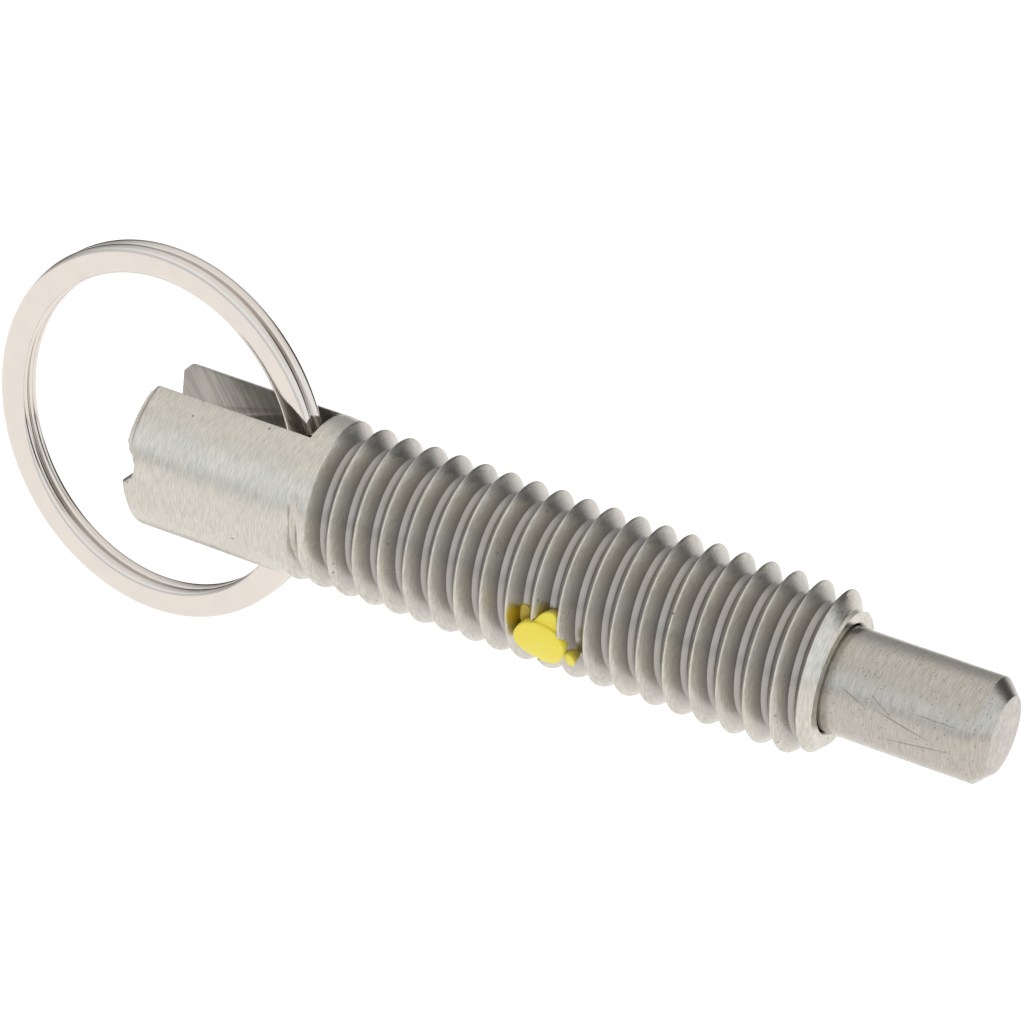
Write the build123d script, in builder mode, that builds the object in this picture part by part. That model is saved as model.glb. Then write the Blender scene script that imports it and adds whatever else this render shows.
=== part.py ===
from build123d import *
import math
import os

os.makedirs("parts", exist_ok=True)

# A hand-pulled indexing plunger. The threaded body screws into a wall, the
# pin springs out of its nose, and the split ring at the rear pulls it back.
# Frame: X along the pin (tip towards +X), origin in the middle of the body's
# nose face, Z up in the plane of the slot, the locking element faces -Y.

# ---- driving sizes, mm and degrees ----
clearance_run = 0.06          # radial gap round the shank

thread_major_dia = 9.42       # 3/8-16 UNC, crest
thread_pitch = 25.4 / 16
thread_depth = 0.974
thread_crest_flat = thread_pitch / 14
thread_rear_x = -31.1         # where the full groove ends and starts to fade
thread_fade_deg = 110.0       # turn in which it fades out of the barrel
thread_phase_x = -29.555      # a crest stands here ...
thread_phase_deg = 60.23      # ... at this angle from +Y towards +Z

body_length = 42.55
barrel_dia = 9.5
barrel_front_x = -31.9
rear_chamfer = 0.54
rear_round = 0.3              # its two edges are tumbled round
nose_face_dia = 7.6
bore_chamfer = 0.1
bore_dia = 6.1
bore_depth = 29.2
slot_width = 3.5
slot_corner = 0.5             # left by the round corner of the cutter
slot_floor_x = -32.25
floor_countersink = 0.25
notch_dia = 2.4               # round cutter
notch_depth = 1.0
notch_z = 0.45                # the real notch sits a little above the middle

pin_dia = 5.95
pin_tip_x = 9.355
tip_chamfer = 0.82
pin_land_rear_x = -0.15       # end of the projecting nose
relief_dia = 5.6
relief_length = 3.6
pin_shoulder_x = -10.5
shank_dia = 3.35
shank_end_x = -35.1
shank_end_chamfer = 0.35
cross_hole_dia = 2.4
cross_hole_setback = 0.8      # behind the slot floor

ring_outer_dia = 22.3
wire_width = 1.67             # radial width of the ring's flat wire
wire_thickness = 0.78
wire_corner = 0.26            # bevel along the wire's edges
coil_gap = 0.03               # between the ring's two layers
ring_cross_deg = 18.0         # half the arc in which the wire changes layer
ring_lean_deg = -5.1          # the ring hangs a little askew
ring_side_y = 0.2             # side play taken up in the cross hole

spring_wire_dia = 0.6
spring_mean_dia = 4.6
spring_turns = 12

plug_x = -15.7
plug_deg = 202.0              # from +Y towards +Z
plug_length = 3.5             # along X
plug_width = 4.2
plug_proud = 0.03             # above the crests
plug_wall = 0.4               # left between the pocket and the bore
plug_clearance = 0.02

# ---- derived ----
major_r = thread_major_dia / 2
barrel_r = barrel_dia / 2
bore_r = bore_dia / 2
shank_r = shank_dia / 2
shank_hole_r = shank_r + clearance_run
plug_top_r = major_r + plug_proud
plug_floor_r = bore_r + plug_wall
cross_hole_x = slot_floor_x - cross_hole_setback
wire_mid_r = (ring_outer_dia - wire_width) / 2
ring_centre_x = cross_hole_x - wire_mid_r


# =====================================================================
# Threaded body: turned bar, bored from the nose, slotted from the rear
# =====================================================================
nose_r = nose_face_dia / 2
with BuildPart() as threaded_body:
    with BuildSketch(Plane.XY) as half_section:
        with BuildLine():
            Polyline(
                (-bore_chamfer, bore_r),
                (0, bore_r + bore_chamfer),
                (0, major_r),
                (barrel_front_x + 0.3, major_r),
                (barrel_front_x, barrel_r),
                (-body_length + rear_chamfer, barrel_r),
                (-body_length, barrel_r - rear_chamfer),
                (-body_length, shank_hole_r),
                (-bore_depth, shank_hole_r),
                (-bore_depth, bore_r),
                close=True,
            )
        make_face()
        rear_corners = half_section.vertices().filter_by(
            lambda v: v.X < -body_length + rear_chamfer + 0.01 and v.Y > barrel_r / 2
        )
        fillet(rear_corners, rear_round)
    revolve(axis=Axis.X)

    # the helical groove of the thread, its section kept in the radial plane;
    # it is cut three turns at a time, from the rear forwards
    rise = 0.1
    flank = math.tan(math.radians(30))
    top_half = (thread_pitch - thread_crest_flat) / 2 + rise * flank
    low_half = top_half - (thread_depth + rise) * flank
    turns = 3
    with BuildPart(mode=Mode.PRIVATE) as groove:
        with BuildLine() as groove_path:
            Helix(thread_pitch, turns * thread_pitch, major_r)
        with BuildSketch(Plane.XZ):
            with BuildLine():
                Polyline(
                    (major_r + rise, -top_half),
                    (major_r + rise, top_half),
                    (major_r - thread_depth, low_half),
                    (major_r - thread_depth, -low_half),
                    close=True,
                )
            make_face()
        sweep(path=groove_path.line, is_frenet=True)
    # start angle that puts the groove half a pitch from the crests
    groove_x0 = thread_phase_x + thread_pitch / 2
    start_deg = thread_phase_deg + (thread_rear_x - groove_x0) / thread_pitch * 360
    turned = Plane.YZ.location * (Rotation(0, 0, start_deg) * groove.part)
    for i in range(math.ceil((thread_pitch - thread_rear_x) / (turns * thread_pitch))):
        add(Location((thread_rear_x + i * turns * thread_pitch, 0, 0)) * turned, mode=Mode.SUBTRACT)
    # behind the last full turn the groove rises out of the barrel
    with BuildPart(mode=Mode.PRIVATE) as fade:
        for i in range(6):
            f = i / 5
            a = math.radians(start_deg - thread_fade_deg * f)
            x = thread_rear_x - thread_pitch * thread_fade_deg / 360 * f
            lift = (thread_depth + rise) * f
            with BuildSketch(
                Plane(
                    origin=(x, 0, 0),
                    x_dir=(0, math.cos(a), math.sin(a)),
                    z_dir=(0, -math.sin(a), math.cos(a)),
                )
            ):
                with BuildLine():
                    Polyline(
                        (major_r + rise + lift, -top_half),
                        (major_r + rise + lift, top_half),
                        (major_r - thread_depth + lift, low_half),
                        (major_r - thread_depth + lift, -low_half),
                        close=True,
                    )
                make_face()
        loft()
    add(fade.part, mode=Mode.SUBTRACT)

    # 45 degree nose chamfer, cut through the first turns
    with BuildSketch(Plane.XY):
        with BuildLine():
            Polyline(
                (1, nose_r - 1),
                (-(major_r - nose_r) - 1, major_r + 1),
                (1, major_r + 1),
                close=True,
            )
        make_face()
    revolve(axis=Axis.X, mode=Mode.SUBTRACT)

    # slot for the ring, through along Z and open to the rear
    slot_length = body_length + slot_floor_x + 1
    with BuildSketch(Plane.XY):
        with Locations((slot_floor_x - slot_length / 2, 0)):
            slot_outline = Rectangle(slot_length, slot_width)
        fillet(slot_outline.vertices().group_by(Axis.X)[-1], slot_corner)
    extrude(amount=barrel_dia, both=True, mode=Mode.SUBTRACT)
    # countersink where the shank leaves the slot floor
    with BuildSketch(Plane.XY):
        with BuildLine():
            Polyline(
                (slot_floor_x, 0),
                (slot_floor_x, shank_hole_r + floor_countersink),
                (slot_floor_x + floor_countersink, shank_hole_r),
                (slot_floor_x + floor_countersink, 0),
                close=True,
            )
        make_face()
    revolve(axis=Axis.X, mode=Mode.SUBTRACT)
    # rounded notch across both prongs, the rest for the pulled and turned ring
    with BuildSketch(Plane.XZ):
        with Locations((-body_length - notch_dia / 2 + notch_depth, notch_z)):
            Circle(notch_dia / 2)
    extrude(amount=barrel_dia, both=True, mode=Mode.SUBTRACT)

    # blind oval pocket for the locking element
    plug_plane = Plane(
        origin=(plug_x, 0, 0),
        x_dir=(1, 0, 0),
        z_dir=(0, math.cos(math.radians(plug_deg)), math.sin(math.radians(plug_deg))),
    )
    with BuildSketch(plug_plane.offset(plug_floor_r)):
        Ellipse(plug_length / 2 + plug_clearance, plug_width / 2 + plug_clearance)
    extrude(amount=barrel_r, mode=Mode.SUBTRACT)


# =====================================================================
# Plunger: pin, shank and cross hole turned from one bar
# =====================================================================
pin_r = pin_dia / 2
with BuildPart() as plunger:
    with BuildSketch(Plane.XY):
        with BuildLine():
            Polyline(
                (pin_tip_x, 0),
                (pin_tip_x, pin_r - tip_chamfer),
                (pin_tip_x - tip_chamfer, pin_r),
                (pin_land_rear_x, pin_r),
                (pin_land_rear_x, relief_dia / 2),
                (pin_land_rear_x - relief_length, relief_dia / 2),
                (pin_land_rear_x - relief_length, pin_r),
                (pin_shoulder_x, pin_r),
                (pin_shoulder_x, shank_r),
                (shank_end_x + shank_end_chamfer, shank_r),
                (shank_end_x, shank_r - shank_end_chamfer),
                (shank_end_x, 0),
                close=True,
            )
        make_face()
    revolve(axis=Axis.X)
    with Locations((cross_hole_x, 0, 0)):
        Cylinder(cross_hole_dia / 2, shank_dia + 2, mode=Mode.SUBTRACT)


# =====================================================================
# Spring: wire coiled round the shank inside the bore
# =====================================================================
spring_space = bore_depth + pin_shoulder_x
spring_pitch = spring_space / spring_turns
with BuildPart() as spring:
    with BuildLine() as spring_path:
        Helix(spring_pitch, spring_space - spring_wire_dia, spring_mean_dia / 2)
    with BuildSketch(Plane.XZ):
        with Locations((spring_mean_dia / 2, 0)):
            RegularPolygon(spring_wire_dia / 2, 8)
    sweep(path=spring_path.line, is_frenet=True)
spring.part = Location((-bore_depth + spring_wire_dia / 2, 0, 0)) * (
    Plane.YZ.location * spring.part
)


# =====================================================================
# Pull ring: flat wire wound twice, changing layer inside the cross hole
# =====================================================================
def wire_section(deg, y):
    """The plane across the wire at one ring angle, in the ring's own frame."""
    c = math.cos(math.radians(deg))
    s = math.sin(math.radians(deg))
    return Plane(origin=(wire_mid_r * c, y, wire_mid_r * s), x_dir=(c, 0, s), z_dir=(-s, 0, c))


with BuildPart() as pull_ring:
    layer_y = (wire_thickness + coil_gap) / 2
    half_w = wire_width / 2
    half_t = wire_thickness / 2
    outer_half = [
        (0, -half_t),
        (half_w - wire_corner, -half_t),
        (half_w, -half_t + wire_corner),
        (half_w, half_t - wire_corner),
        (half_w - wire_corner, half_t),
        (0, half_t),
    ]
    full = outer_half[1:5] + [(-x, y) for x, y in reversed(outer_half[1:5])]
    end_deg = ring_cross_deg + math.degrees(half_w / wire_mid_r)
    for y, start, cap_at, side in (
        (-layer_y, end_deg, end_deg, 1),
        (layer_y, ring_cross_deg, -end_deg, -1),
    ):
        with BuildSketch(wire_section(start, y)):
            Polygon(*full, align=None)
        revolve(axis=Axis((0, 0, 0), (0, -1, 0)), revolution_arc=360 - ring_cross_deg - end_deg)
        # the wire's free end is round
        cap = wire_section(cap_at, y)
        with BuildSketch(cap):
            Polygon(*outer_half, align=None)
        revolve(axis=Axis(cap.origin, (0, side, 0)), revolution_arc=180)
    # the single wire that steps from the near layer to the far one
    for i in range(7):
        f = i / 6
        y = -layer_y * math.cos(math.pi * f)
        with BuildSketch(wire_section(ring_cross_deg * (2 * f - 1), y)):
            Polygon(*full, align=None)
    loft()
pull_ring.part = Location((cross_hole_x, ring_side_y, 0), (0, 0, ring_lean_deg)) * (
    Location((-wire_mid_r, 0, 0)) * pull_ring.part
)


# =====================================================================
# Locking element: oval nylon plug swaged flush with the thread
# =====================================================================
with BuildPart() as nylon_locking_element:
    with BuildSketch(plug_plane.offset(plug_floor_r)):
        Ellipse(plug_length / 2, plug_width / 2)
    extrude(amount=barrel_r)
    with BuildSketch(Plane.YZ.offset(plug_x - plug_length)):
        Circle(plug_top_r)
    extrude(amount=2 * plug_length, mode=Mode.INTERSECT)


for name, piece in (
    ("threaded_body", threaded_body),
    ("plunger", plunger),
    ("spring", spring),
    ("pull_ring", pull_ring),
    ("nylon_locking_element", nylon_locking_element),
):
    piece.part.label = name
    export_step(piece.part, "parts/" + name + ".step")
    box = piece.part.bounding_box()
    print(name, len(piece.part.solids()), round(piece.part.volume, 2),
          [round(v, 2) for v in (*box.min, *box.max)])
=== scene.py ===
import math

import bmesh
import bpy
from mathutils import Matrix, Vector


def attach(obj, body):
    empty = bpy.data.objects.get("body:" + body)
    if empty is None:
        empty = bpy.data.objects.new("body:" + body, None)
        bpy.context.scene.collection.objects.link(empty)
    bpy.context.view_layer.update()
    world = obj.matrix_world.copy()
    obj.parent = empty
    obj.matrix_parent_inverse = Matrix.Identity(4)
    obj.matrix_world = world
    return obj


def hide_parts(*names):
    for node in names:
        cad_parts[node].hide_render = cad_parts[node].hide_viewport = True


# An indexing plunger with a pull ring, in metres, in the frame of its CAD model:
# X runs along the pin towards its tip, Z is up in the plane of the ring slot, and
# the yellow locking element looks towards -Y.
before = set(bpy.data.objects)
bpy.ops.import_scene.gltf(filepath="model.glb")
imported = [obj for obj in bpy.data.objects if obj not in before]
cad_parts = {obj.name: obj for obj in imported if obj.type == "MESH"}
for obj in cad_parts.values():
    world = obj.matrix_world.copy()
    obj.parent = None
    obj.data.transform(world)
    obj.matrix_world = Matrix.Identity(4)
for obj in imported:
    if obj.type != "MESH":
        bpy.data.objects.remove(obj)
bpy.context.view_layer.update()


# Threaded body
# One bar of free-cutting stainless steel, turned to a plain barrel behind and to a
# 3/8 inch coarse thread in front, drilled from the nose, slotted from the rear, and
# tumbled so that every edge is slightly round.
MM = 0.001
PITCH = 1.5875
CREST_R = 4.71
BARREL_R = 4.75
DEPTH = 0.974
CROWN = 0.03
THREAD_STEPS = 144
STRIP_FRONT_X = 0.6
BARREL_FRONT_X = -32.2
BARREL_END_X = -42.55
BARREL_CHAMFER = 0.54
SLOT_FLOOR_X = -32.25
SLOT_HALF = 1.75
SLOT_CORNER = 0.5
SHANK_HOLE_R = 1.735
BORE_R = 3.05


def node(tree, kind, inputs=None, **settings):
    """Adds a node with its settings, and its inputs as values or linked to other nodes."""
    made = tree.nodes.new(kind)
    for key, value in settings.items():
        setattr(made, key, value)
    for key, value in (inputs or {}).items():
        if isinstance(value, bpy.types.Node):
            value = value.outputs[0]
        if isinstance(value, bpy.types.NodeSocket):
            tree.links.new(value, made.inputs[key])
        else:
            made.inputs[key].default_value = value
    return made


def evaluated(piece):
    """The piece with its modifiers worked into a plain mesh."""
    view = bpy.context.evaluated_depsgraph_get()
    mesh = bpy.data.meshes.new_from_object(piece.evaluated_get(view))
    piece.modifiers.clear()
    piece.data = mesh
    mesh.name = piece.name
    return piece


def rounded(points):
    """A profile of (x, radius, rounding) points with its corners rounded off."""
    out = []
    for i, (x, r, rounding) in enumerate(points):
        if rounding == 0 or i in (0, len(points) - 1):
            out.append((x, r))
            continue
        here = Vector((x, r))
        before = (Vector(points[i - 1][:2]) - here).normalized()
        after = (Vector(points[i + 1][:2]) - here).normalized()
        half = before.angle(after) / 2
        run = rounding / math.tan(half)
        middle = here + (before + after).normalized() * rounding / math.sin(half)
        start = here + before * run - middle
        end = here + after * run - middle
        for k in range(5):
            f = k / 4
            spoke = start.lerp(end, f).normalized() * rounding
            out.append(tuple(middle + spoke))
    return out


def placed(name, made):
    """A new object of a finished bmesh, its faces turned outward."""
    bmesh.ops.recalc_face_normals(made, faces=made.faces)
    mesh = bpy.data.meshes.new(name)
    made.to_mesh(mesh)
    made.free()
    piece = bpy.data.objects.new(name, mesh)
    bpy.context.collection.objects.link(piece)
    return piece


def turned(name, profile, steps=192):
    """A solid turned round X from (x, radius) points in millimetres, from axis to axis."""
    made = bmesh.new()
    rows = []
    for x, r in profile:
        if r == 0:
            rows.append([made.verts.new((x * MM, 0, 0))])
            continue
        row = []
        for i in range(steps):
            a = 2 * math.pi * i / steps
            row.append(made.verts.new((x * MM, r * math.cos(a) * MM, r * math.sin(a) * MM)))
        rows.append(row)
    for low, high in zip(rows, rows[1:]):
        for i in range(steps):
            k = (i + 1) % steps
            corners = [low[i % len(low)], low[k % len(low)], high[k % len(high)], high[i % len(high)]]
            made.faces.new(list(dict.fromkeys(corners)))
    return placed(name, made)


def cut(piece, cutters):
    """Cuts the cutters out of the piece and removes them."""
    for cutter in cutters:
        made = piece.modifiers.new("cut", "BOOLEAN")
        made.operation = "DIFFERENCE"
        made.solver = "EXACT"
        made.object = cutter
    evaluated(piece)
    for cutter in cutters:
        bpy.data.objects.remove(cutter)


# the thread follows one rule: a 60 degree groove that climbs one pitch a turn and fades
# out of the bar at the barrel
rod_tree = bpy.data.node_groups.new("threaded_rod", "GeometryNodeTree")
rod_tree.interface.new_socket("Geometry", in_out="OUTPUT", socket_type="NodeSocketGeometry")
for title, value in (
    ("Pitch", PITCH * MM),
    ("Crest Radius", CREST_R * MM),
    ("Barrel Radius", BARREL_R * MM),
    ("Depth", DEPTH * MM),
    ("Crest Flat", PITCH / 20 * MM),
    ("Rear X", -34.0 * MM),
    ("Thread End X", -31.1 * MM),
    ("Fade Turns", 110 / 360),
    ("Crest X", -29.555 * MM),
    ("Crest Angle", math.radians(60.23)),
    ("Turns", 22),
    ("Steps", THREAD_STEPS),
):
    kind = "NodeSocketInt" if isinstance(value, int) else "NodeSocketFloat"
    rod_tree.interface.new_socket(title, in_out="INPUT", socket_type=kind).default_value = value
rod_tree.interface.new_socket("Material", in_out="INPUT", socket_type="NodeSocketMaterial")
given = rod_tree.nodes.new("NodeGroupInput").outputs
rod_count = node(rod_tree, "ShaderNodeMath", {0: given["Turns"], 1: given["Steps"]}, operation="MULTIPLY")
rod_rows = node(rod_tree, "ShaderNodeMath", {0: rod_count, 1: 1.0}, operation="ADD")
strip = node(
    rod_tree,
    "GeometryNodeMeshGrid",
    {"Size X": 1.0, "Size Y": 1.0, "Vertices X": rod_rows, "Vertices Y": 17},
)
place = node(rod_tree, "ShaderNodeSeparateXYZ", {0: node(rod_tree, "GeometryNodeInputPosition")})
along = node(rod_tree, "ShaderNodeMath", {0: place.outputs["X"], 1: 0.5}, operation="ADD")
turn = node(rod_tree, "ShaderNodeMath", {0: along, 1: given["Turns"]}, operation="MULTIPLY")
side = node(rod_tree, "ShaderNodeMath", {0: place.outputs["Y"]}, operation="SIGN")
across = node(rod_tree, "ShaderNodeMath", {0: place.outputs["Y"]}, operation="ABSOLUTE")
# across runs from 0 in the middle of the groove to 0.5 on the crest: root, flank, crest
root_part = node(rod_tree, "ShaderNodeMapRange", {"Value": across, "From Max": 0.125})
# the flank's faces get narrow towards both of its edges, which then shade crisply
flank_part = node(
    rod_tree,
    "ShaderNodeMapRange",
    {"Value": across, "From Min": 0.125, "From Max": 0.375},
    interpolation_type="SMOOTHERSTEP",
)
crest_part = node(rod_tree, "ShaderNodeMapRange", {"Value": across, "From Min": 0.375, "From Max": 0.5})
fall = node(rod_tree, "ShaderNodeMath", {0: 1.0, 1: flank_part}, operation="SUBTRACT")
half_flat = node(rod_tree, "ShaderNodeMath", {0: given["Crest Flat"], 1: 0.5}, operation="MULTIPLY")
flank_run = node(
    rod_tree,
    "ShaderNodeMath",
    {0: given["Depth"], 1: math.tan(math.radians(30))},
    operation="MULTIPLY",
)
half_pitch = node(rod_tree, "ShaderNodeMath", {0: given["Pitch"], 1: 0.5}, operation="MULTIPLY")
top_half = node(rod_tree, "ShaderNodeMath", {0: half_pitch, 1: half_flat}, operation="SUBTRACT")
root_half = node(rod_tree, "ShaderNodeMath", {0: top_half, 1: flank_run}, operation="SUBTRACT")
out_root = node(rod_tree, "ShaderNodeMath", {0: root_part, 1: root_half}, operation="MULTIPLY")
out_flank = node(
    rod_tree, "ShaderNodeMath", {0: flank_part, 1: flank_run, 2: out_root}, operation="MULTIPLY_ADD"
)
out_crest = node(
    rod_tree, "ShaderNodeMath", {0: crest_part, 1: half_flat, 2: out_flank}, operation="MULTIPLY_ADD"
)
turn_x = node(
    rod_tree, "ShaderNodeMath", {0: turn, 1: given["Pitch"], 2: given["Rear X"]}, operation="MULTIPLY_ADD"
)
middle_x = node(rod_tree, "ShaderNodeMath", {0: turn_x, 1: half_pitch}, operation="ADD")
raw_x = node(rod_tree, "ShaderNodeMath", {0: side, 1: out_crest, 2: middle_x}, operation="MULTIPLY_ADD")
from_crest = node(rod_tree, "ShaderNodeMath", {0: turn_x, 1: given["Crest X"]}, operation="SUBTRACT")
crest_turns = node(rod_tree, "ShaderNodeMath", {0: from_crest, 1: given["Pitch"]}, operation="DIVIDE")
angle = node(
    rod_tree,
    "ShaderNodeMath",
    {0: crest_turns, 1: 2 * math.pi, 2: given["Crest Angle"]},
    operation="MULTIPLY_ADD",
)
# the crest is crowned and the root is as hollow
left = node(rod_tree, "ShaderNodeMath", {0: 1.0, 1: crest_part}, operation="SUBTRACT")
left_squared = node(rod_tree, "ShaderNodeMath", {0: left, 1: 2.0}, operation="POWER")
root_squared = node(rod_tree, "ShaderNodeMath", {0: root_part, 1: 2.0}, operation="POWER")
straight = node(rod_tree, "ShaderNodeMath", {0: given["Depth"], 1: 2 * CROWN * MM}, operation="SUBTRACT")
drop_flank = node(rod_tree, "ShaderNodeMath", {0: fall, 1: straight}, operation="MULTIPLY")
drop_crest = node(
    rod_tree, "ShaderNodeMath", {0: left_squared, 1: CROWN * MM, 2: drop_flank}, operation="MULTIPLY_ADD"
)
hollow = node(rod_tree, "ShaderNodeMath", {0: 1.0, 1: root_squared}, operation="SUBTRACT")
drop = node(
    rod_tree, "ShaderNodeMath", {0: hollow, 1: CROWN * MM, 2: drop_crest}, operation="MULTIPLY_ADD"
)
# towards the rear the groove rises out of the bar
end_shift = node(rod_tree, "ShaderNodeMath", {0: given["Thread End X"], 1: middle_x}, operation="SUBTRACT")
end_turns = node(rod_tree, "ShaderNodeMath", {0: end_shift, 1: given["Pitch"]}, operation="DIVIDE")
fade = node(rod_tree, "ShaderNodeMapRange", {"Value": end_turns, "From Max": given["Fade Turns"]})
rise = node(rod_tree, "ShaderNodeMath", {0: given["Depth"], 1: 0.1 * MM}, operation="ADD")
lifted = node(rod_tree, "ShaderNodeMath", {0: fade, 1: rise}, operation="MULTIPLY")
still = node(rod_tree, "ShaderNodeMath", {0: drop, 1: lifted}, operation="SUBTRACT")
sunk = node(rod_tree, "ShaderNodeMath", {0: still, 1: 0.0}, operation="MAXIMUM")
skin = node(
    rod_tree,
    "ShaderNodeMapRange",
    {
        "Value": raw_x,
        "From Min": -31.9 * MM,
        "From Max": -31.6 * MM,
        "To Min": given["Barrel Radius"],
        "To Max": given["Crest Radius"],
    },
)
radius = node(rod_tree, "ShaderNodeMath", {0: skin, 1: sunk}, operation="SUBTRACT")
# past its two ends the strip gathers on two plain circles
final_x = node(
    rod_tree,
    "ShaderNodeClamp",
    {"Value": raw_x, "Min": BARREL_FRONT_X * MM, "Max": STRIP_FRONT_X * MM},
)
past = node(
    rod_tree, "ShaderNodeMath", {0: raw_x, 1: (STRIP_FRONT_X - 0.0001) * MM}, operation="GREATER_THAN"
)
final_r = node(
    rod_tree, "ShaderNodeMix", {0: past, 2: radius, 3: given["Crest Radius"]}, data_type="FLOAT"
)
cosine = node(rod_tree, "ShaderNodeMath", {0: angle}, operation="COSINE")
sine = node(rod_tree, "ShaderNodeMath", {0: angle}, operation="SINE")
final_y = node(rod_tree, "ShaderNodeMath", {0: final_r, 1: cosine}, operation="MULTIPLY")
final_z = node(rod_tree, "ShaderNodeMath", {0: final_r, 1: sine}, operation="MULTIPLY")
spot = node(rod_tree, "ShaderNodeCombineXYZ", {"X": final_x, "Y": final_y, "Z": final_z})
wound = node(rod_tree, "GeometryNodeSetPosition", {"Geometry": strip, "Position": spot})
merged = node(rod_tree, "GeometryNodeMergeByDistance", {"Geometry": wound, "Distance": 0.001 * MM})
real = node(rod_tree, "GeometryNodeRealizeInstances", {"Geometry": merged})
coated = node(rod_tree, "GeometryNodeSetMaterial", {"Geometry": real, "Material": given["Material"]})
rod_out = rod_tree.nodes.new("NodeGroupOutput")
rod_tree.links.new(coated.outputs[0], rod_out.inputs[0])

body = bpy.data.objects.new("threaded_barrel", bpy.data.meshes.new("threaded_barrel"))
bpy.context.collection.objects.link(body)
body.modifiers.new("threaded_rod", "NODES").node_group = rod_tree
evaluated(body)
# the barrel is drawn out of the thread's rear circle, and the nose is closed by one face
made = bmesh.new()
made.from_mesh(body.data)
bmesh.ops.dissolve_degenerate(made, dist=1e-7, edges=made.edges)
rims = [edge for edge in made.edges if edge.is_boundary]
rear = [edge for edge in rims if edge.verts[0].co.x < -0.03 and edge.verts[1].co.x < -0.03]
front = [edge for edge in rims if edge.verts[0].co.x > -0.03]
bmesh.ops.contextual_create(made, geom=front)
barrel_end = rounded(
    [
        (BARREL_FRONT_X, BARREL_R, 0),
        (-40.8, BARREL_R, 0),
        (-41.35, BARREL_R, 0),
        (-41.6, BARREL_R, 0),
        (BARREL_END_X + BARREL_CHAMFER, BARREL_R, 0.3),
        (BARREL_END_X, BARREL_R - BARREL_CHAMFER, 0.3),
        (BARREL_END_X, 0.5, 0),
    ]
)
for x, r in barrel_end[1:]:
    drawn = bmesh.ops.extrude_edge_only(made, edges=rear)["geom"]
    for vert in drawn:
        if isinstance(vert, bmesh.types.BMVert):
            flat = Vector((vert.co.y, vert.co.z)).normalized() * r * MM
            vert.co = (x * MM, flat.x, flat.y)
    rear = [edge for edge in drawn if isinstance(edge, bmesh.types.BMEdge)]
bmesh.ops.contextual_create(made, geom=rear)
bmesh.ops.recalc_face_normals(made, faces=made.faces)
made.to_mesh(body.data)
made.free()


def prism(name, outline, axis, low, high):
    """A closed prism over an outline of two coordinates, in millimetres, along X, Y or Z."""
    made = bmesh.new()
    rows = []
    for level in (low, high):
        row = []
        for a, b in outline:
            spot = [a * MM, b * MM]
            spot.insert("XYZ".index(axis), level * MM)
            row.append(made.verts.new(spot))
        rows.append(row)
    count = len(outline)
    for i in range(count):
        k = (i + 1) % count
        made.faces.new((rows[0][i], rows[0][k], rows[1][k], rows[1][i]))
    made.faces.new(rows[0])
    made.faces.new(rows[1])
    return placed(name, made)


def oval(x, y, half_x, half_y, count=48):
    """The outline of an ellipse about (x, y), in millimetres."""
    turns = [2 * math.pi * k / count for k in range(count)]
    return [(x + half_x * math.cos(a), y + half_y * math.sin(a)) for a in turns]


def smooth(piece, sharp_degrees=None):
    """Shades the piece smooth, except over edges sharper than the given angle."""
    for face in piece.data.polygons:
        face.use_smooth = True
    if sharp_degrees:
        piece.data.set_sharp_from_angle(angle=math.radians(sharp_degrees))


# the guide hole of the shank, eased at the slot's floor, the bore with its eased mouth,
# and the nose cone, all cut by one turned piece
hollow_profile = [
    (-43.0, 0),
    (-43.0, SHANK_HOLE_R),
    (SLOT_FLOOR_X - 0.25, SHANK_HOLE_R),
    (SLOT_FLOOR_X, SHANK_HOLE_R + 0.25),
    (SLOT_FLOOR_X + 0.25, SHANK_HOLE_R),
    (-29.2, SHANK_HOLE_R),
    (-29.2, BORE_R),
    (-0.1, BORE_R),
    (0, BORE_R + 0.1),
    (0, 3.8),
    (-1.6, 5.4),
    (1.5, 5.4),
    (1.5, 0),
]
bore_cutter = turned("bore_cutter", hollow_profile, THREAD_STEPS)
# the slot's floor has rounded corners
corner_x = SLOT_FLOOR_X - SLOT_CORNER
corner_y = SLOT_HALF - SLOT_CORNER
quarter_turn = [math.pi / 2 * k / 8 for k in range(9)]
slot_outline = [(-44, -SLOT_HALF)]
for a in quarter_turn:
    slot_outline.append((corner_x + SLOT_CORNER * math.sin(a), -corner_y - SLOT_CORNER * math.cos(a)))
for a in quarter_turn:
    slot_outline.append((corner_x + SLOT_CORNER * math.cos(a), corner_y + SLOT_CORNER * math.sin(a)))
slot_outline.append((-44, SLOT_HALF))
slot_cutter = prism("slot_cutter", slot_outline, "Z", -6, 6)
notch_cutter = prism("notch_cutter", oval(-42.75, 0.45, 1.2, 1.2), "Y", -6, 6)
pocket_cutter = prism("pocket_cutter", oval(-15.95, 0, 1.25, 1.6), "Y", -6, -3.45)
pocket_cutter.data.transform(Matrix.Rotation(math.radians(21), 4, "X"))

cut(body, [bore_cutter, slot_cutter, notch_cutter, pocket_cutter])
# every edge of the barrel is tumbled round by about 0.06 mm
made = bmesh.new()
made.from_mesh(body.data)
bmesh.ops.dissolve_degenerate(made, dist=1e-7, edges=made.edges)
edges = []
for edge in made.edges:
    if len(edge.link_faces) == 2 and edge.calc_face_angle(0) > math.radians(30):
        low = min(v.co.x for v in edge.verts)
        high = max(v.co.x for v in edge.verts)
        r = max(math.hypot(v.co.y, v.co.z) for v in edge.verts)
        if high < -31.95 * MM and r > 2.1 * MM:
            edges.append(edge)
bmesh.ops.bevel(
    made, geom=edges, offset=0.06 * MM, segments=2, profile=0.5, affect="EDGES", clamp_overlap=False
)
made.to_mesh(body.data)
made.free()
smooth(body, 32)


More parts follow.
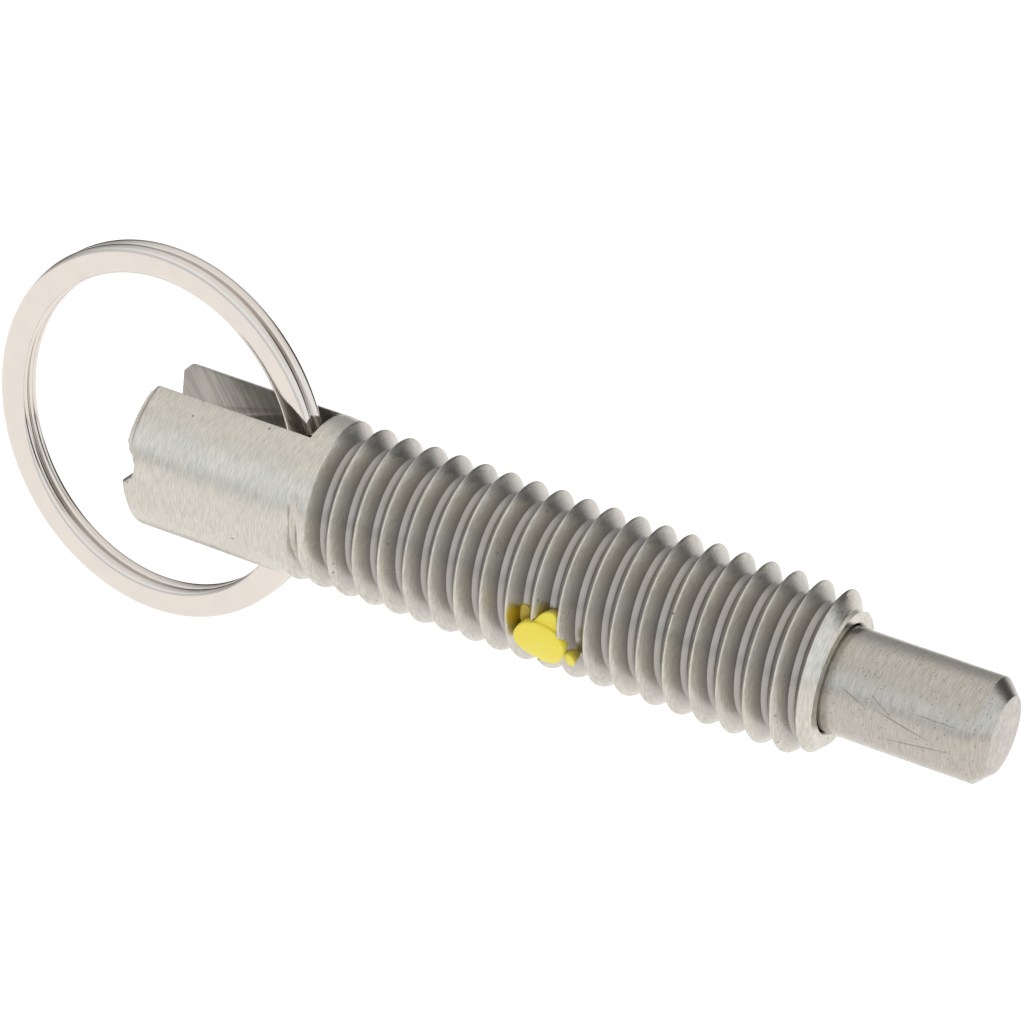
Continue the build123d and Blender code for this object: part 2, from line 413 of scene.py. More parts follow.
def linear(hex_code):
    """An sRGB hex colour as linear RGBA."""
    out = []
    for i in (0, 2, 4):
        c = int(hex_code[i : i + 2], 16) / 255
        out.append(c / 12.92 if c <= 0.04045 else ((c + 0.055) / 1.055) ** 2.4)
    return (*out, 1.0)


def new_material(name):
    """A material, its tree emptied down to an output, and the shader that feeds it."""
    made = bpy.data.materials.new(name)
    made.use_nodes = True
    tree = made.node_tree
    tree.nodes.clear()
    shader = tree.nodes.new("ShaderNodeBsdfPrincipled")
    out = tree.nodes.new("ShaderNodeOutputMaterial")
    tree.links.new(shader.outputs["BSDF"], out.inputs["Surface"])
    return made, tree, shader


# Free-cutting stainless steel, turned and tumbled: a satin grey with short brush marks
# round the bar, a few dark pits, and slow patches of warmer and cooler tint.
def tumbled_steel(name, colours, rough, streak_mm, streak_height, pit_mm, pit_share):
    """Satin stainless steel of two tints and a pit colour, its marks sized in millimetres."""
    made, tree, shader = new_material(name)
    shader.inputs["Metallic"].default_value = 1.0
    place = node(tree, "ShaderNodeTexCoord").outputs["Object"]
    squeezed = node(
        tree,
        "ShaderNodeMapping",
        {"Vector": place, "Scale": (1 / (streak_mm * MM), 0.1 / (streak_mm * MM), 0.1 / (streak_mm * MM))},
    )
    streaks = node(tree, "ShaderNodeTexNoise", {"Vector": squeezed, "Scale": 1.0, "Detail": 3.0})
    patches = node(tree, "ShaderNodeTexNoise", {"Vector": place, "Scale": 1 / (2.5 * MM), "Detail": 4.0})
    grain = node(tree, "ShaderNodeTexNoise", {"Vector": place, "Scale": 1 / (0.12 * MM), "Detail": 2.0})
    pits = node(
        tree, "ShaderNodeTexVoronoi", {"Vector": place, "Scale": 1 / (pit_mm * MM), "Randomness": 1.0}
    )
    # the pits are soft dots up to a quarter of a cell in radius, and only some cells have one
    chosen = node(tree, "ShaderNodeSeparateColor", {"Color": pits.outputs["Color"]})
    has_pit = node(tree, "ShaderNodeMath", {0: chosen.outputs[0], 1: pit_share}, operation="LESS_THAN")
    dot = node(
        tree, "ShaderNodeMapRange", {"Value": pits.outputs["Distance"], "From Min": 0.1, "From Max": 0.24}
    )
    no_dot = node(tree, "ShaderNodeMath", {0: 1.0, 1: dot}, operation="SUBTRACT")
    pit = node(tree, "ShaderNodeMath", {0: no_dot, 1: has_pit}, operation="MULTIPLY")
    tint = node(
        tree,
        "ShaderNodeMix",
        {0: patches.outputs["Fac"], 6: linear(colours[0]), 7: linear(colours[1])},
        data_type="RGBA",
    )
    streaked = node(
        tree, "ShaderNodeMapRange", {"Value": streaks.outputs["Fac"], "From Min": 0.3, "From Max": 0.7}
    )
    deep = node(
        tree,
        "ShaderNodeMix",
        {0: streaked, 6: (0.78, 0.78, 0.78, 1), 7: (1.08, 1.08, 1.08, 1)},
        data_type="RGBA",
    )
    toned = node(
        tree, "ShaderNodeMix", {0: 1.0, 6: tint.outputs[2], 7: deep.outputs[2]},
        data_type="RGBA", blend_type="MULTIPLY",
    )
    colour = node(
        tree, "ShaderNodeMix", {0: pit, 6: toned.outputs[2], 7: linear(colours[2])}, data_type="RGBA"
    )
    tree.links.new(colour.outputs[2], shader.inputs["Base Color"])
    shine = node(
        tree,
        "ShaderNodeMapRange",
        {"Value": patches.outputs["Fac"], "From Min": 0.3, "From Max": 0.7,
         "To Min": rough - 0.05, "To Max": rough + 0.05},
    )
    tree.links.new(shine.outputs[0], shader.inputs["Roughness"])
    relief = node(
        tree, "ShaderNodeMath", {0: streaks.outputs["Fac"], 1: grain.outputs["Fac"]}, operation="ADD"
    )
    sunk_pit = node(tree, "ShaderNodeMath", {0: pit, 1: -0.8, 2: relief}, operation="MULTIPLY_ADD")
    bump = node(
        tree, "ShaderNodeBump", {"Height": sunk_pit, "Strength": 1.0, "Distance": streak_height * MM}
    )
    tree.links.new(bump.outputs["Normal"], shader.inputs["Normal"])
    return made, tree, shader, place, colour.outputs[2]


def from_axis(tree, apart):
    """The distance from the X axis of a place that was taken apart."""
    across = node(tree, "ShaderNodeCombineXYZ", {"Y": apart.outputs["Y"], "Z": apart.outputs["Z"]})
    return node(tree, "ShaderNodeVectorMath", {0: across}, operation="LENGTH").outputs["Value"]


body_steel, tree, shader, place, plain = tumbled_steel(
    "turned_and_tumbled_stainless",
    colours=("CFCABF", "C9C8C2", "857F77"),
    rough=0.30,
    streak_mm=0.06,
    streak_height=0.004,
    pit_mm=0.45,
    pit_share=0.07,
)
# the milled walls of the slot are darker, partly their milled finish and partly painted shade of the deep
# slot, with the cutter's marks a tenth or two apart
apart = node(tree, "ShaderNodeSeparateXYZ", {0: place})
from_middle = node(tree, "ShaderNodeMath", {0: apart.outputs["Y"]}, operation="ABSOLUTE")
between = node(
    tree, "ShaderNodeMath", {0: from_middle, 1: (SLOT_HALF + 0.03) * MM}, operation="LESS_THAN"
)
behind = node(
    tree, "ShaderNodeMath", {0: apart.outputs["X"], 1: (SLOT_FLOOR_X + 0.05) * MM}, operation="LESS_THAN"
)
in_slot = node(tree, "ShaderNodeMath", {0: between, 1: behind}, operation="MULTIPLY")
leaning = node(tree, "ShaderNodeMapping", {"Vector": place, "Rotation": (0, math.radians(35), 0)})
drawn_out = node(
    tree, "ShaderNodeMapping", {"Vector": leaning, "Scale": (1 / (0.14 * MM), 1 / (3 * MM), 1 / (3 * MM))}
)
milled = node(tree, "ShaderNodeTexNoise", {"Vector": drawn_out, "Scale": 1.0, "Detail": 2.0})
milled = node(
    tree, "ShaderNodeMapRange", {"Value": milled.outputs["Fac"], "From Min": 0.35, "From Max": 0.65}
)
# the walls' darker grey is partly painted shade of the slot, the marks are the cutter's
milled_wall_and_shade = node(
    tree, "ShaderNodeMix", {0: milled, 6: linear("8F8C87"), 7: linear("A5A29C")}, data_type="RGBA"
)
# painted shade: the thread's groove is painted darker and greyer towards its root, where shade falls
height = from_axis(tree, apart)
depth = node(
    tree, "ShaderNodeMapRange", {"Value": height, "From Min": 4.62 * MM, "From Max": 3.8 * MM}
)
before = node(
    tree, "ShaderNodeMapRange", {"Value": apart.outputs["X"], "From Min": -0.6 * MM, "From Max": -1.0 * MM}
)
after = node(
    tree, "ShaderNodeMapRange", {"Value": apart.outputs["X"], "From Min": -31.8 * MM, "From Max": -31.5 * MM}
)
groove = node(tree, "ShaderNodeMath", {0: depth, 1: before}, operation="MULTIPLY")
groove = node(tree, "ShaderNodeMath", {0: groove, 1: after}, operation="MULTIPLY")
# the painted shade of the groove's root is mixed into the steel here
root_shaded = node(
    tree, "ShaderNodeMix", {0: groove, 6: plain, 7: linear("A3A09C")}, data_type="RGBA"
)
# nylon that was dragged up the flank behind the plug stains it yellow
from_stain = node(
    tree, "ShaderNodeVectorMath", {0: place, 1: (-17.6 * MM, -4.13 * MM, -0.43 * MM)}, operation="DISTANCE"
)
stain = node(
    tree, "ShaderNodeMapRange",
    {"Value": from_stain.outputs["Value"], "From Min": 0.8 * MM, "From Max": 0.35 * MM},
)
stained = node(
    tree, "ShaderNodeMix", {0: stain, 6: root_shaded.outputs[2], 7: linear("C9B75C")}, data_type="RGBA"
)
toned = node(tree, "ShaderNodeMix", {0: in_slot, 6: stained.outputs[2], 7: milled_wall_and_shade.outputs[2]}, data_type="RGBA")
tree.links.new(toned.outputs[2], shader.inputs["Base Color"])
body.data.materials.clear()
body.data.materials.append(body_steel)
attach(body, "body")
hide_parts("threaded_body")


# Plunger
# The sprung pin and its thinner shank, turned from one bar of stainless steel, with a
# relief behind the nose and a chamfered tip, ground, then tumbled until it is finely
# pitted. The shank's cross hole carries the ring; the pin slides in the body's bore.
CROSS_HOLE_X = -33.05
CROSS_HOLE_R = 1.2
PIN_R = 2.975
SHANK_R = 1.675
TIP_X = 9.355
TIP_CHAMFER = 0.82
pin_profile = rounded(
    [
        (-35.1, 0, 0),
        (-35.1, SHANK_R - 0.35, 0.05),
        (-34.75, SHANK_R, 0.05),
        (-10.5, SHANK_R, 0),
        (-10.5, PIN_R, 0.1),
        (-3.75, PIN_R, 0.05),
        (-3.75, 2.8, 0),
        (-0.15, 2.8, 0),
        (-0.15, PIN_R, 0.03),
        (TIP_X - TIP_CHAMFER, PIN_R, 0.07),
        (TIP_X, PIN_R - TIP_CHAMFER, 0.07),
        (TIP_X, 0, 0),
    ]
)
pin = turned("sprung_pin", pin_profile)
hole_outline = oval(CROSS_HOLE_X, 0, CROSS_HOLE_R, CROSS_HOLE_R, 64)
cut(pin, [prism("hole_cutter", hole_outline, "Z", -3, 3)])
smooth(pin, 32)

# Ground stainless steel, a little greyer than the body, with many fine pits.
pin_steel, tree, shader, place, plain = tumbled_steel(
    "ground_and_tumbled_stainless",
    colours=("BAB4AA", "B4B2AD", "8A857C"),
    rough=0.26,
    streak_mm=0.06,
    streak_height=0.0018,
    pit_mm=0.25,
    pit_share=0.6,
)
apart = node(tree, "ShaderNodeSeparateXYZ", {0: place})
# the handling scratches on the near side, from one (x, z) to another and fading out over a
# width to each side, in millimetres
marks = None
for x0, z0, x1, z1, width in (
    (2.70, 0.71, 6.95, -0.23, 0.055),
    (3.50, -0.97, 8.20, -0.27, 0.05),
    (0.89, 1.20, 2.54, 0.57, 0.045),
    (4.93, 1.07, 8.29, 1.09, 0.03),
    (2.59, 1.37, 4.35, 0.33, 0.035),
):
    run = Vector((x1 - x0, z1 - z0))
    length = run.length * MM
    run.normalize()
    off = node(
        tree, "ShaderNodeVectorMath", {0: place, 1: (x0 * MM, 0, z0 * MM)}, operation="SUBTRACT"
    )
    beside = node(
        tree, "ShaderNodeVectorMath", {0: off, 1: (-run.y, 0, run.x)}, operation="DOT_PRODUCT"
    )
    ahead = node(tree, "ShaderNodeVectorMath", {0: off, 1: (run.x, 0, run.y)}, operation="DOT_PRODUCT")
    near = node(tree, "ShaderNodeMath", {0: beside.outputs["Value"]}, operation="ABSOLUTE")
    line = node(
        tree,
        "ShaderNodeMapRange",
        {"Value": near, "From Min": 0, "From Max": width * MM, "To Min": 1, "To Max": 0},
    )
    started = node(
        tree, "ShaderNodeMapRange", {"Value": ahead.outputs["Value"], "From Max": 0.3 * length}
    )
    ended = node(
        tree,
        "ShaderNodeMapRange",
        {"Value": ahead.outputs["Value"], "From Min": 0.6 * length, "From Max": length,
         "To Min": 1, "To Max": 0},
    )
    part = node(tree, "ShaderNodeMath", {0: line, 1: started}, operation="MULTIPLY")
    part = node(tree, "ShaderNodeMath", {0: part, 1: ended}, operation="MULTIPLY")
    if marks is not None:
        part = node(tree, "ShaderNodeMath", {0: part, 1: marks}, operation="MAXIMUM")
    marks = part
near_side = node(tree, "ShaderNodeMath", {0: apart.outputs["Y"], 1: 0.0}, operation="LESS_THAN")
marks = node(tree, "ShaderNodeMath", {0: marks, 1: near_side}, operation="MULTIPLY")
dim = node(tree, "ShaderNodeMath", {0: marks, 1: 0.75}, operation="MULTIPLY")
scratched = node(tree, "ShaderNodeMix", {0: dim, 6: plain, 7: linear("5B564F")}, data_type="RGBA")
tree.links.new(scratched.outputs[2], shader.inputs["Base Color"])
pin.data.materials.clear()
pin.data.materials.append(pin_steel)
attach(pin, "plunger")
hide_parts("plunger")


# Spring
# A compression spring of drawn stainless wire, coiled round the shank and hidden in the
# bore. Its CAD solid stays, because it shortens as the pin is pulled.
wire_steel, tree, shader = new_material("drawn_spring_wire")
shader.inputs["Metallic"].default_value = 1.0
shader.inputs["Roughness"].default_value = 0.3
place = node(tree, "ShaderNodeTexCoord").outputs["Object"]
# drawn wire is dull grey with slightly darker stretches a few millimetres long
dull = node(tree, "ShaderNodeTexNoise", {"Vector": place, "Scale": 1 / (2 * MM), "Detail": 3.0})
grey = node(
    tree, "ShaderNodeMix", {0: dull.outputs["Fac"], 6: linear("8C8A86"), 7: linear("A9A7A2")},
    data_type="RGBA",
)
tree.links.new(grey.outputs[2], shader.inputs["Base Color"])
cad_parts["spring"].data.materials.clear()
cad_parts["spring"].data.materials.append(wire_steel)


# Pull ring
# A split ring of rolled stainless steel wire with round edges, wound twice, that changes
# layer in a short step inside the shank's cross hole. Polished, so that it mirrors.
RING_MIDDLE_R = 10.315
RING_LEAN_DEGREES = -5.1
RING_SIDE_Y = 0.2
ring_tree = bpy.data.node_groups.new("split_ring", "GeometryNodeTree")
ring_tree.interface.new_socket("Geometry", in_out="OUTPUT", socket_type="NodeSocketGeometry")
for title, value in (
    ("Middle Radius", RING_MIDDLE_R * MM),
    ("Wire Width", 1.67 * MM),
    ("Wire Thickness", 0.78 * MM),
    ("Squareness", 2.7),
    ("Layer Offset", 0.405 * MM),
    ("Crossing Half Angle", math.radians(18)),
    ("Points", 721),
):
    kind = "NodeSocketInt" if isinstance(value, int) else "NodeSocketFloat"
    ring_tree.interface.new_socket(title, in_out="INPUT", socket_type=kind).default_value = value
ring_tree.interface.new_socket("Material", in_out="INPUT", socket_type="NodeSocketMaterial")
given = ring_tree.nodes.new("NodeGroupInput").outputs
path = node(ring_tree, "GeometryNodeCurvePrimitiveLine", {"Start": (0, 0, 0), "End": (1, 0, 0)})
path = node(ring_tree, "GeometryNodeResampleCurve", {"Curve": path, "Count": given["Points"]})
part = node(ring_tree, "ShaderNodeSeparateXYZ", {0: node(ring_tree, "GeometryNodeInputPosition")})
# the wire runs from behind the crossing round to it, through it, and round again
half_wire = node(ring_tree, "ShaderNodeMath", {0: given["Wire Width"], 1: 0.5}, operation="MULTIPLY")
cap_angle = node(
    ring_tree, "ShaderNodeMath", {0: half_wire, 1: given["Middle Radius"]}, operation="DIVIDE"
)
end_angle = node(
    ring_tree, "ShaderNodeMath", {0: given["Crossing Half Angle"], 1: 0.006}, operation="ADD"
)
sweep = node(
    ring_tree, "ShaderNodeMath", {0: end_angle, 1: -2.0, 2: 4 * math.pi}, operation="MULTIPLY_ADD"
)
angle = node(
    ring_tree, "ShaderNodeMath", {0: part.outputs["X"], 1: sweep, 2: end_angle}, operation="MULTIPLY_ADD"
)
past_turn = node(ring_tree, "ShaderNodeMath", {0: angle, 1: 2 * math.pi}, operation="SUBTRACT")
step = node(
    ring_tree, "ShaderNodeMath", {0: past_turn, 1: given["Crossing Half Angle"]}, operation="DIVIDE"
)
step_part = node(ring_tree, "ShaderNodeClamp", {"Value": step, "Min": -1.0, "Max": 1.0})
quarter = node(ring_tree, "ShaderNodeMath", {0: step_part, 1: math.pi / 2}, operation="MULTIPLY")
swing = node(ring_tree, "ShaderNodeMath", {0: quarter}, operation="SINE")
# the ring lies in a level plane here and is stood up below, which turns its axis round
layer = node(ring_tree, "ShaderNodeMath", {0: swing, 1: given["Layer Offset"]}, operation="MULTIPLY")
layer = node(ring_tree, "ShaderNodeMath", {0: layer, 1: -1.0}, operation="MULTIPLY")
cosine = node(ring_tree, "ShaderNodeMath", {0: angle}, operation="COSINE")
sine = node(ring_tree, "ShaderNodeMath", {0: angle}, operation="SINE")
round_x = node(
    ring_tree, "ShaderNodeMath", {0: cosine, 1: given["Middle Radius"]}, operation="MULTIPLY"
)
round_y = node(ring_tree, "ShaderNodeMath", {0: sine, 1: given["Middle Radius"]}, operation="MULTIPLY")
spot = node(ring_tree, "ShaderNodeCombineXYZ", {"X": round_x, "Y": round_y, "Z": layer})
wound = node(ring_tree, "GeometryNodeSetPosition", {"Geometry": path, "Position": spot})
level = node(ring_tree, "GeometryNodeSetCurveNormal", {"Curve": wound}, mode="Z_UP")
# both free ends of the wire are rounded off
to_start = node(ring_tree, "ShaderNodeMath", {0: part.outputs["X"], 1: sweep}, operation="MULTIPLY")
to_end = node(ring_tree, "ShaderNodeMath", {0: sweep, 1: to_start}, operation="SUBTRACT")
to_tip = node(ring_tree, "ShaderNodeMath", {0: to_start, 1: to_end}, operation="MINIMUM")
in_cap = node(ring_tree, "ShaderNodeMapRange", {"Value": to_tip, "From Max": cap_angle})
gone = node(ring_tree, "ShaderNodeMath", {0: 1.0, 1: in_cap}, operation="SUBTRACT")
gone = node(ring_tree, "ShaderNodeMath", {0: gone, 1: gone}, operation="MULTIPLY")
kept = node(ring_tree, "ShaderNodeMath", {0: 1.0001, 1: gone}, operation="SUBTRACT")
size = node(ring_tree, "ShaderNodeMath", {0: kept, 1: 0.5}, operation="POWER")
shrunk = node(ring_tree, "GeometryNodeSetCurveRadius", {"Curve": level, "Radius": size})
# rolling leaves the wire's faces a little crowned, which a squared circle gives
round_wire = node(ring_tree, "GeometryNodeCurvePrimitiveCircle", {"Resolution": 40, "Radius": 1.0})
corner = node(ring_tree, "ShaderNodeSeparateXYZ", {0: node(ring_tree, "GeometryNodeInputPosition")})
squaring = node(ring_tree, "ShaderNodeMath", {0: 2.0, 1: given["Squareness"]}, operation="DIVIDE")
half_thick = node(ring_tree, "ShaderNodeMath", {0: given["Wire Thickness"], 1: 0.5}, operation="MULTIPLY")
sizes = []
for axis, half in (("X", half_wire), ("Y", half_thick)):
    far = node(ring_tree, "ShaderNodeMath", {0: corner.outputs[axis]}, operation="ABSOLUTE")
    far = node(ring_tree, "ShaderNodeMath", {0: far, 1: squaring}, operation="POWER")
    far = node(ring_tree, "ShaderNodeMath", {0: far, 1: half}, operation="MULTIPLY")
    way = node(ring_tree, "ShaderNodeMath", {0: corner.outputs[axis]}, operation="SIGN")
    sizes.append(node(ring_tree, "ShaderNodeMath", {0: far, 1: way}, operation="MULTIPLY"))
squared = node(ring_tree, "ShaderNodeCombineXYZ", {"X": sizes[0], "Y": sizes[1]})
crowned = node(ring_tree, "GeometryNodeSetPosition", {"Geometry": round_wire, "Position": squared})
solid = node(
    ring_tree, "GeometryNodeCurveToMesh", {"Curve": shrunk, "Profile Curve": crowned, "Fill Caps": True}
)
stood = node(
    ring_tree,
    "GeometryNodeTransform",
    {"Geometry": solid, "Rotation": (math.pi / 2, 0, 0), "Translation": (-RING_MIDDLE_R * MM, 0, 0)},
)
# it hangs in the cross hole, a little askew and with its side play taken up
hung = node(
    ring_tree,
    "GeometryNodeTransform",
    {
        "Geometry": stood,
        "Rotation": (0, 0, math.radians(RING_LEAN_DEGREES)),
        "Translation": (CROSS_HOLE_X * MM, RING_SIDE_Y * MM, 0),
    },
)
real = node(ring_tree, "GeometryNodeRealizeInstances", {"Geometry": hung})
coated = node(ring_tree, "GeometryNodeSetMaterial", {"Geometry": real, "Material": given["Material"]})
ring_out = ring_tree.nodes.new("NodeGroupOutput")
ring_tree.links.new(coated.outputs[0], ring_out.inputs[0])

ring_steel, tree, shader = new_material("polished_rolled_stainless")
shader.inputs["Metallic"].default_value = 1.0
place = node(tree, "ShaderNodeTexCoord").outputs["Object"]
# rolled wire keeps a soft waviness of about 1 mm and a faint rub of finer marks
wave = node(tree, "ShaderNodeTexNoise", {"Vector": place, "Scale": 1 / (1.2 * MM), "Detail": 2.0})
rub = node(tree, "ShaderNodeTexNoise", {"Vector": place, "Scale": 1 / (0.1 * MM), "Detail": 2.0})
metal = node(
    tree, "ShaderNodeMix", {0: wave.outputs["Fac"], 6: linear("DCD4CC"), 7: linear("D2CDC8")},
    data_type="RGBA",
)
tree.links.new(metal.outputs[2], shader.inputs["Base Color"])
shine = node(
    tree, "ShaderNodeMapRange", {"Value": rub.outputs["Fac"], "To Min": 0.05, "To Max": 0.13}
)
tree.links.new(shine.outputs[0], shader.inputs["Roughness"])
relief = node(
    tree, "ShaderNodeMath", {0: rub.outputs["Fac"], 1: 0.1, 2: wave.outputs["Fac"]},
    operation="MULTIPLY_ADD",
)
bump = node(tree, "ShaderNodeBump", {"Height": relief, "Strength": 1.0, "Distance": 0.004 * MM})
tree.links.new(bump.outputs["Normal"], shader.inputs["Normal"])

ring = bpy.data.objects.new("split_pull_ring", bpy.data.meshes.new("split_pull_ring"))
bpy.context.collection.objects.link(ring)
ring.modifiers.new("split_ring", "NODES").node_group = ring_tree
evaluated(ring)
made = bmesh.new()
made.from_mesh(ring.data)
bmesh.ops.recalc_face_normals(made, faces=made.faces)
made.to_mesh(ring.data)
made.free()
smooth(ring, 40)
ring.data.materials.clear()
ring.data.materials.append(ring_steel)
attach(ring, "ring")
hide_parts("pull_ring")


# Locking element
# An oval plug of yellow nylon, pressed into a blind pocket and swaged flush when the
# body is screwed in, so that it is pushed over one crest and along two grooves.
PLUG_DEGREES = 202


def swaged(made, outline, top, bottom, dome):
    """Adds a closed pebble of nylon over an outline of (x, degrees round X) corners.

    Its top lies on a cylinder round X and swells by the dome in the middle.
    """
    spots = [Vector((x, top * math.radians(a - PLUG_DEGREES))) for x, a in outline]
    # the corners are joined by a smooth closed curve, eight points to each
    fine = []
    count = len(spots)
    for i in range(count):
        p0, p1, p2, p3 = (spots[(i + k - 1) % count] for k in range(4))
        for k in range(8):
            t = k / 8
            fine.append(
                0.5
                * (
                    2 * p1
                    + (p2 - p0) * t
                    + (2 * p0 - 5 * p1 + 4 * p2 - p3) * t * t
                    + (3 * p1 - p0 - 3 * p2 + p3) * t * t * t
                )
            )
    centre = sum(fine, Vector((0, 0))) / len(fine)
    rows = []
    for share, height in (
        (0.0, bottom),
        (0.97, bottom),
        (1.0, top - 0.35),
        (1.0, top - 0.12),
        (0.985, top - 0.05),
        (0.95, top - 0.015),
        (0.88, top),
        (0.6, top + dome * 0.6),
        (0.3, top + dome * 0.9),
        (0.0, top + dome),
    ):
        row = []
        for spot in fine if share else [centre]:
            here = centre.lerp(spot, share)
            a = math.radians(PLUG_DEGREES) + here.y / top
            place = (here.x * MM, height * math.cos(a) * MM, height * math.sin(a) * MM)
            row.append(made.verts.new(place))
        rows.append(row)
    for low, high in zip(rows, rows[1:]):
        for i in range(len(fine)):
            k = (i + 1) % len(fine)
            corners = [low[i % len(low)], low[k % len(low)], high[k % len(high)], high[i % len(high)]]
            made.faces.new(list(dict.fromkeys(corners)))


made = bmesh.new()
plug_outline = [
    (-17.43, 199.6), (-17.23, 192.0), (-16.79, 186.1), (-16.12, 183.1), (-15.43, 183.9),
    (-14.95, 185.5), (-14.6, 189.5), (-14.3, 196.5), (-14.5, 208.0), (-15.0, 216.7),
    (-15.69, 219.5), (-16.32, 216.6), (-16.94, 212.7), (-17.32, 206.5),
]
swaged(made, plug_outline, 4.735, 3.45, 0.005)
# the lobe pushed up beside it, the smear in the groove behind, the tail in the groove before
lobe_outline = [
    (-16.57, 188.3), (-16.25, 182.6), (-15.86, 176.3), (-15.44, 173.5), (-15.03, 174.5),
    (-14.85, 180.2), (-14.77, 188.1), (-15.08, 194.7), (-15.53, 192.0), (-16.11, 190.0),
]
swaged(made, lobe_outline, 4.5, 3.45, 0.03)
smear_outline = [
    (-17.95, 184.0), (-17.53, 179.5), (-17.05, 178.5), (-16.8, 185.0), (-17.1, 196.0), (-17.6, 203.0),
]
swaged(made, smear_outline, 3.84, 3.5, 0.08)
tail_outline = [
    (-14.8, 209.0), (-14.35, 204.5), (-14.0, 207.0), (-13.9, 213.5), (-14.15, 220.0), (-14.75, 219.0),
]
swaged(made, tail_outline, 4.42, 3.5, 0.08)
plug = placed("nylon_patch", made)
smooth(plug)

# Moulded nylon, matt yellow, with painted shade that darkens it to olive down in the groove.
nylon, tree, shader = new_material("swaged_yellow_nylon")
place = node(tree, "ShaderNodeTexCoord").outputs["Object"]
cloudy = node(tree, "ShaderNodeTexNoise", {"Vector": place, "Scale": 1 / (1.1 * MM), "Detail": 3.0})
fine_noise = node(tree, "ShaderNodeTexNoise", {"Vector": place, "Scale": 1 / (0.15 * MM), "Detail": 3.0})
yellow = node(
    tree, "ShaderNodeMix", {0: cloudy.outputs["Fac"], 6: linear("E2C938"), 7: linear("DFD852")},
    data_type="RGBA",
)
apart = node(tree, "ShaderNodeSeparateXYZ", {0: place})
height = from_axis(tree, apart)
# painted shade: nylon lower than the crests is darkened to olive, as shade in the groove
sunk = node(
    tree,
    "ShaderNodeMapRange",
    {"Value": height, "From Min": 4.05 * MM, "From Max": 4.45 * MM,
     "To Min": 1.0, "To Max": 0.0},
)
toned = node(
    tree, "ShaderNodeMix", {0: sunk, 6: yellow.outputs[2], 7: linear("B59F36")}, data_type="RGBA"
)
tree.links.new(toned.outputs[2], shader.inputs["Base Color"])
shader.inputs["Roughness"].default_value = 0.45
bump = node(
    tree, "ShaderNodeBump", {"Height": fine_noise.outputs["Fac"], "Strength": 1.0, "Distance": 0.012 * MM}
)
tree.links.new(bump.outputs["Normal"], shader.inputs["Normal"])
plug.data.materials.append(nylon)
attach(plug, "body")
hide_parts("nylon_locking_element")


# Floor, light and camera
# A white floor far below, so that no shadow falls in the picture, and the light of a
# pale tent: warm from above, cool and brightest from the front and from beyond the tip,
# grey from the other sides, rosy from the floor.
floor_mesh = bpy.data.meshes.new("floor")
floor_mesh.from_pydata([(-3, -3, -0.1), (3, -3, -0.1), (3, 3, -0.1), (-3, 3, -0.1)], [], [(0, 1, 2, 3)])
floor = bpy.data.objects.new("floor", floor_mesh)
bpy.context.collection.objects.link(floor)
floor_paint, tree, shader = new_material("white_table_paint")
place = node(tree, "ShaderNodeTexCoord").outputs["Object"]
off_middle = node(tree, "ShaderNodeVectorMath", {0: place, 1: (0.0, -0.12, -0.1)}, operation="SUBTRACT")
distance = node(tree, "ShaderNodeVectorMath", {0: off_middle}, operation="LENGTH")
# the table is white under the object and grey out in the room, which darkens the horizon
outward = node(
    tree, "ShaderNodeMapRange", {"Value": distance.outputs["Value"], "From Min": 0.8, "From Max": 1.6}
)
paint = node(
    tree, "ShaderNodeMix", {0: outward, 6: (1.0, 0.975, 0.96, 1), 7: (0.4, 0.4, 0.4, 1)},
    data_type="RGBA",
)
tree.links.new(paint.outputs[2], shader.inputs["Base Color"])
shader.inputs["Roughness"].default_value = 1.0
shader.inputs["Specular IOR Level"].default_value = 0.0
shader.inputs["Emission Color"].default_value = (1, 1, 1, 1)
shader.inputs["Emission Strength"].default_value = 0.27
floor_mesh.materials.append(floor_paint)

world = bpy.data.worlds.new("studio")
bpy.context.scene.world = world
world.use_nodes = True
tree = world.node_tree
toward = node(tree, "ShaderNodeTexCoord").outputs["Generated"]
apart = node(tree, "ShaderNodeSeparateXYZ", {0: toward})
overhead = node(tree, "ShaderNodeMapRange", {"Value": apart.outputs["Z"], "From Min": 0.45, "From Max": 0.85})
in_front = node(tree, "ShaderNodeMapRange", {"Value": apart.outputs["Y"], "From Min": -0.1, "From Max": -0.7})
at_tip = node(tree, "ShaderNodeMapRange", {"Value": apart.outputs["X"], "From Min": 0.5, "From Max": 0.8})
in_front = node(tree, "ShaderNodeMath", {0: in_front, 1: at_tip}, operation="MAXIMUM")
sides = node(
    tree, "ShaderNodeMix", {0: in_front, 6: (0.5, 0.5, 0.5, 1), 7: (1.12, 1.16, 1.2, 1)}, data_type="RGBA"
)
tent = node(
    tree, "ShaderNodeMix", {0: overhead, 6: sides.outputs[2], 7: (1.04, 1.02, 0.985, 1)}, data_type="RGBA"
)
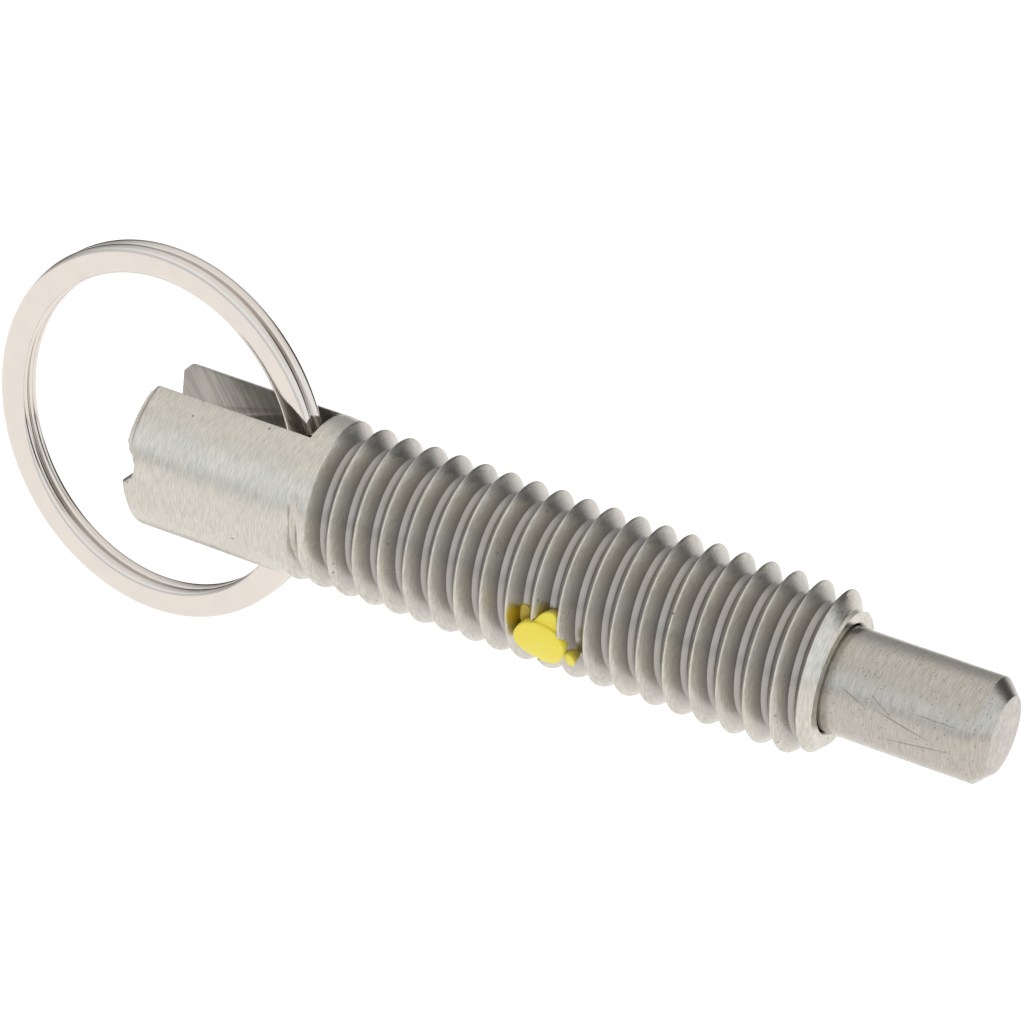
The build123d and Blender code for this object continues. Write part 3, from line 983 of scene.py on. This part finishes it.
# a dim band lies along the horizon, but not beyond the tip
above = node(tree, "ShaderNodeMath", {0: apart.outputs["Z"], 1: 0.08}, operation="SUBTRACT")
above = node(tree, "ShaderNodeMath", {0: above}, operation="ABSOLUTE")
level = node(tree, "ShaderNodeMapRange", {"Value": above, "From Min": 0.1, "From Max": 0.04})
rearward = node(tree, "ShaderNodeMapRange", {"Value": apart.outputs["X"], "From Min": 0.75, "From Max": 0.5})
band = node(tree, "ShaderNodeMath", {0: level, 1: rearward}, operation="MULTIPLY")
band = node(tree, "ShaderNodeMath", {0: band, 1: 0.35}, operation="MULTIPLY")
banded = node(
    tree, "ShaderNodeMix", {0: band, 6: tent.outputs[2], 7: (0.08, 0.08, 0.08, 1)}, data_type="RGBA"
)
# two darker places, which the ring and the edges mirror
light = banded.outputs[2]
for direction, inner, outer in (
    ((0.42, 0.87, 0.25), 0.97, 0.92),
    ((-0.82, 0.56, 0.0), 0.96, 0.88),
):
    facing = node(
        tree, "ShaderNodeVectorMath", {0: toward, 1: Vector(direction).normalized()},
        operation="DOT_PRODUCT",
    )
    dark = node(
        tree, "ShaderNodeMapRange",
        {"Value": facing.outputs["Value"], "From Min": outer, "From Max": inner},
    )
    light = node(
        tree, "ShaderNodeMix", {0: dark, 6: light, 7: (0.06, 0.06, 0.06, 1)}, data_type="RGBA"
    ).outputs[2]
back_light = tree.nodes["Background"]
tree.links.new(light, back_light.inputs["Color"])
back_light.inputs["Strength"].default_value = 1.0

# the camera that was fitted to the photograph, its three directions in the object's frame
camera = bpy.data.objects.new("camera", bpy.data.cameras.new("camera"))
bpy.context.collection.objects.link(camera)
right = Vector((0.8742, 0.4751, 0.1004))
up = Vector((-0.3016, 0.3692, 0.8791))
back = Vector((0.3805, -0.7988, 0.4660))
turn_to = Matrix((right, up, back)).transposed().to_4x4()
camera.matrix_world = Matrix.Translation(Vector((78.79, -208.20, 124.52)) * MM) @ turn_to
camera.data.lens = 168.8
camera.data.sensor_width = 36
camera.data.clip_start = 0.01
camera.data.clip_end = 20
bpy.context.scene.camera = camera
bpy.context.scene.view_settings.view_transform = "Standard"
